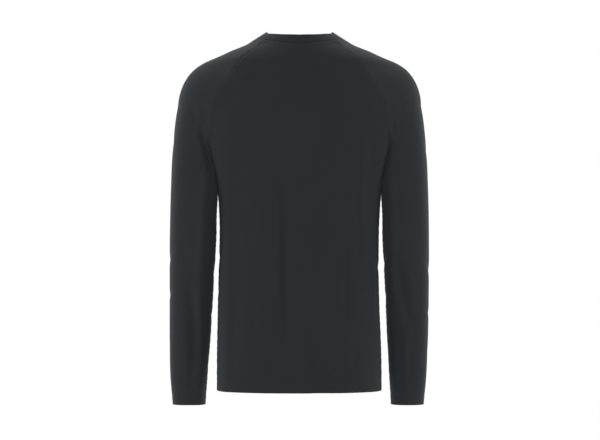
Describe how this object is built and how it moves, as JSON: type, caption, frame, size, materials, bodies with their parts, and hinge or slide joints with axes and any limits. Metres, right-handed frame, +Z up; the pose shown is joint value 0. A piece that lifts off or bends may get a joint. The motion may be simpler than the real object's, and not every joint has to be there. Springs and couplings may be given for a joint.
{
  "type": "long-sleeved base layer top",
  "caption": "Charcoal crew-neck base layer top with raglan long sleeves, a low neck band and turned-up hems, filled out as worn.",
  "frame": {"origin": "at the base of the neck between the shoulders, level with the top of the neck seam, where the wearer's shoulders hold the top up", "axes": "+Z up, -Y out of the front of the chest, +X towards the wearer's left"},
  "size_m": [0.5198, 0.2378, 0.7435],
  "materials": {
    "knit": "soft matt stretch jersey with a faint sheen",
    "band": "matt fine knit, folded double"
  },
  "bodies": {
    "root": {"back_panel": "knit", "front_panel": "knit", "left_sleeve": "knit", "right_sleeve": "knit", "neck_band": "band"}
  },
  "joints": []
}
